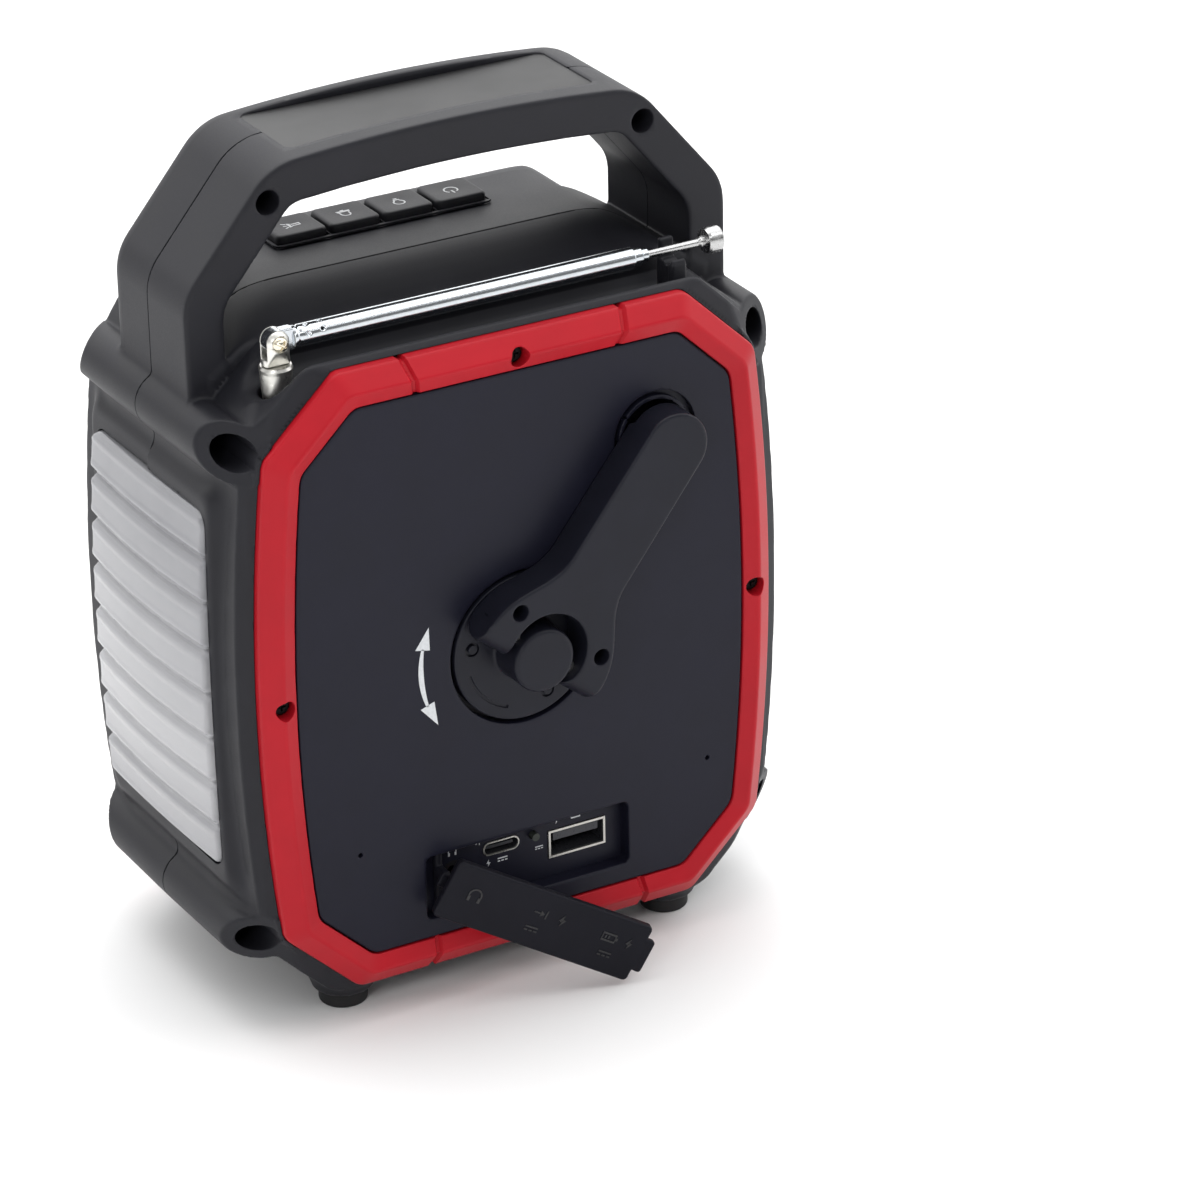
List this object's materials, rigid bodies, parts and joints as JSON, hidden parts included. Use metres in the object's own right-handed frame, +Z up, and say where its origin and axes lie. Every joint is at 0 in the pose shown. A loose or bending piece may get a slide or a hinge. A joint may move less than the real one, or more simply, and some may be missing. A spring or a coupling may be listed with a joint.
{
  "type": "hand crank weather radio",
  "caption": "Portable emergency radio with carry handle, folding hand crank generator, solar cell, telescopic antenna, side lanterns, torch and charging ports.",
  "frame": {"origin": "middle of the whole radio's box at the height of the feet, on the table", "axes": "+Z up, +Y to the rear, where the crank is, +X to the left of someone who looks at the rear"},
  "size_m": [0.1408, 0.11, 0.1918],
  "materials": {
    "shell_plastic": "fine matte texture, charcoal",
    "bezel_plastic": "satin crimson",
    "panel_plastic": "fine satin, near black",
    "crank_plastic": "fine satin, near black",
    "grip_plastic": "satin black",
    "key_plastic": "matte charcoal",
    "grille_plastic": "satin black",
    "knob_plastic": "satin black",
    "holder_plastic": "satin black",
    "jack_plastic": "satin black",
    "cover_rubber": "matte",
    "foot_rubber": "matte",
    "steel": "zinc plated",
    "plate_steel": "stamped",
    "motor_steel": "drawn can",
    "port_steel": "satin",
    "brass": "machined",
    "screw_brass": "nickel plated",
    "chrome": "polished",
    "gear_nylon": "natural nylon",
    "board_green": "solder mask",
    "board_white": "white solder mask",
    "display": "liquid crystal",
    "window_clear": "clear polycarbonate",
    "lens_milky": "milky diffuser",
    "reflector": "vacuum metallised",
    "cone_paper": "pressed paper",
    "cell_wrap": "shrink wrap",
    "ferrite": "sintered",
    "solar_cell": "silicon under resin"
  },
  "bodies": {
    "case": {"antenna_clip": "shell_plastic", "antenna_socket": "chrome", "battery_cells": "cell_wrap", "battery_holder": "holder_plastic", "bezel_screws": "steel", "case_screws": "steel", "crank_bush": "brass", "display_module": "display", "display_window": "window_clear", "ferrite_rod": "ferrite", "front_bezel": "bezel_plastic", "front_panel": "panel_plastic", "front_shell": "shell_plastic", "gearbox_plate": "plate_steel", "generator_motor": "motor_steel", "headphone_jack": "jack_plastic", "key_board": "board_green", "key_frame": "key_plastic", "lantern_boards": "board_white", "lantern_lens_left": "lens_milky", "lantern_lens_right": "lens_milky", "main_board": "board_green", "port_board": "board_green", "rear_bezel": "bezel_plastic", "rear_panel": "panel_plastic", "rear_shell": "shell_plastic", "rubber_feet": "foot_rubber", "solar_cell": "solar_cell", "solar_window": "window_clear", "speaker_cone": "cone_paper", "speaker_frame": "motor_steel", "speaker_grille": "grille_plastic", "torch_led_board": "board_white", "torch_lens": "window_clear", "torch_reflector": "reflector", "usb_a_port": "port_steel", "usb_c_port": "port_steel"},
    "crank_drive": {"crank_hub": "crank_plastic", "crank_shaft": "steel", "drive_gear": "gear_nylon", "crank_hinge_pin": "steel"},
    "crank_lever": {"crank_arm": "crank_plastic"},
    "grip_stem": {"grip_spindle": "steel"},
    "grip": {"crank_grip": "grip_plastic"},
    "idler": {"idler_gear": "gear_nylon"},
    "rotor": {"motor_pinion": "brass"},
    "antenna_base": {"antenna_knuckle": "chrome", "antenna_screw": "screw_brass"},
    "antenna_one": {"antenna_tube_1": "chrome"},
    "antenna_two": {"antenna_tube_2": "chrome"},
    "antenna_three": {"antenna_tube_3": "chrome"},
    "antenna_four": {"antenna_tip": "chrome"},
    "tether": {"cover_tether": "cover_rubber"},
    "cover": {"port_cover": "cover_rubber"},
    "power_key": {"key_power": "key_plastic"},
    "lantern_key": {"key_lantern": "key_plastic"},
    "siren_key": {"key_siren": "key_plastic"},
    "torch_key": {"key_torch": "key_plastic"},
    "tuning": {"tuning_knob": "knob_plastic"},
    "volume": {"volume_knob": "knob_plastic"}
  },
  "joints": [
    {"name": "crank_spin", "type": "hinge", "parent": "case", "child": "crank_drive", "pos_m": [0, 0.03477, 0.0795], "axis": [0, 1, 0], "continuous": true},
    {"name": "crank_fold", "type": "hinge", "parent": "crank_drive", "child": "crank_lever", "pos_m": [-0.00062, 0.04207, 0.08028], "axis": [-0.7854, 0, -0.6189], "range_deg": [0, 180]},
    {"name": "grip_slide", "type": "slide", "parent": "crank_lever", "child": "grip_stem", "axis": [0, -1, 0], "range_m": [0, 0.0052]},
    {"name": "grip_spin", "type": "hinge", "parent": "grip_stem", "child": "grip", "pos_m": [-0.03275, 0.04077, 0.12105], "axis": [0, 1, 0], "continuous": true},
    {"name": "idler_spin", "type": "hinge", "parent": "case", "child": "idler", "pos_m": [0.02584, 0.02277, 0.08891], "axis": [0, 1, 0], "continuous": true},
    {"name": "rotor_spin", "type": "hinge", "parent": "case", "child": "rotor", "pos_m": [0.02584, 0.01877, 0.10991], "axis": [0, 1, 0], "continuous": true},
    {"name": "antenna_swivel", "type": "hinge", "parent": "case", "child": "antenna_base", "pos_m": [0.0494, 0.02437, 0.1525], "axis": [0, 0, -1], "range_deg": [0, 180]},
    {"name": "antenna_tilt", "type": "hinge", "parent": "antenna_base", "child": "antenna_one", "pos_m": [0.0494, 0.02437, 0.1563], "axis": [0, 1, 0], "range_deg": [0, 90]},
    {"name": "antenna_extend_1", "type": "slide", "parent": "antenna_one", "child": "antenna_two", "axis": [-1, 0, 0], "range_m": [0, 0.068]},
    {"name": "antenna_extend_2", "type": "slide", "parent": "antenna_two", "child": "antenna_three", "axis": [-1, 0, 0], "range_m": [0, 0.068]},
    {"name": "antenna_extend_3", "type": "slide", "parent": "antenna_three", "child": "antenna_four", "axis": [-1, 0, 0], "range_m": [0, 0.068]},
    {"name": "cover_swing", "type": "hinge", "parent": "case", "child": "tether", "pos_m": [0.0215, 0.03522, 0.028], "axis": [0, 0, -1], "range_deg": [-8, 20]},
    {"name": "cover_droop", "type": "hinge", "parent": "tether", "child": "cover", "pos_m": [0.02099, 0.0415, 0.02899], "axis": [0.2588, 0.9659, 0], "range_deg": [0, 28.6]},
    {"name": "power_press", "type": "slide", "parent": "case", "child": "power_key", "axis": [0, 0, -1], "range_m": [0, 0.0008], "stiffness_N_per_m": 900, "springref_m": -0.0005},
    {"name": "lantern_press", "type": "slide", "parent": "case", "child": "lantern_key", "axis": [0, 0, -1], "range_m": [0, 0.0008], "stiffness_N_per_m": 900, "springref_m": -0.0005},
    {"name": "siren_press", "type": "slide", "parent": "case", "child": "siren_key", "axis": [0, 0, -1], "range_m": [0, 0.0008], "stiffness_N_per_m": 900, "springref_m": -0.0005},
    {"name": "torch_press", "type": "slide", "parent": "case", "child": "torch_key", "axis": [0, 0, -1], "range_m": [0, 0.0008], "stiffness_N_per_m": 900, "springref_m": -0.0005},
    {"name": "tuning_turn", "type": "hinge", "parent": "case", "child": "tuning", "pos_m": [0.031, -0.04523, 0.0925], "axis": [0, -1, 0], "continuous": true},
    {"name": "volume_turn", "type": "hinge", "parent": "case", "child": "volume", "pos_m": [0.031, -0.04523, 0.066], "axis": [0, -1, 0], "range_deg": [0, 290]}
  ],
  "couplings": [
    {"joint": "idler_spin", "follows": "crank_spin", "ratio": -2.6667},
    {"joint": "rotor_spin", "follows": "crank_spin", "ratio": 6.6667}
  ]
}
